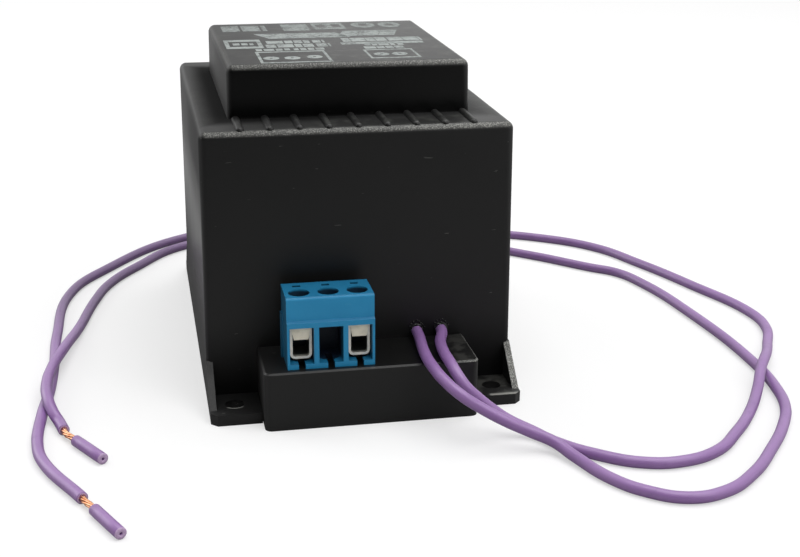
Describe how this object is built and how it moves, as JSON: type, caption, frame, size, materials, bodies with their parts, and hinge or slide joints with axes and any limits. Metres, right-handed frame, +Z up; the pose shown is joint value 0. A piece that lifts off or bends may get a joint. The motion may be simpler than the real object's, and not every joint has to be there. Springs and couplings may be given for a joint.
{
  "type": "potted chassis transformer",
  "caption": "Potted laminated transformer in a black moulded case with bolt-down corner tabs, a screw terminal block on a front ledge and two purple flying leads.",
  "frame": {"origin": "Centre of the four mounting holes, on the mounting plane under the tabs and the base rim.", "axes": "+Z up, away from the mounting plane. -Y towards the ledge with the terminal block and the leads. +X to the right when the terminals face the viewer."},
  "size_m": [0.1474, 0.1578, 0.0595],
  "materials": {
    "case": "fine-grained black moulded case",
    "resin": "cured black casting resin",
    "core_steel": "rolled silicon steel sheet",
    "former": "natural glass-filled plastic",
    "winding_wire": "enamelled copper wire",
    "tape": "yellow polyester tape",
    "fuse": "plain tinned can",
    "sleeve": "woven insulating sleeve",
    "block": "blue moulded terminal block",
    "plated_steel": "nickel-plated steel",
    "lead_sleeve": "smooth purple wire insulation",
    "bare_copper": "bare copper strands"
  },
  "bodies": {
    "root": {"housing": "case", "potting_resin": "resin", "core_e_sheets": "core_steel", "core_i_sheets": "core_steel", "core_welds": "core_steel", "coil_former": "former", "primary_winding": "winding_wire", "secondary_winding": "winding_wire", "primary_tape": "tape", "secondary_tape": "tape", "thermal_fuse": "fuse", "link_pin_to_fuse": "winding_wire", "link_fuse_to_winding": "winding_wire", "link_pin_to_winding": "winding_wire", "splice_a": "sleeve", "splice_b": "sleeve", "secondary_tail_a": "winding_wire", "secondary_tail_b": "winding_wire", "terminal_block": "block", "clamp_cage_left": "plated_steel", "clamp_cage_right": "plated_steel", "wire_guard_left": "plated_steel", "wire_guard_right": "plated_steel", "clamp_screw_left": "plated_steel", "clamp_screw_right": "plated_steel", "lead_a": "lead_sleeve", "lead_a_strands": "bare_copper", "lead_a_slug": "lead_sleeve", "lead_b": "lead_sleeve", "lead_b_strands": "bare_copper", "lead_b_slug": "lead_sleeve"}
  },
  "joints": []
}
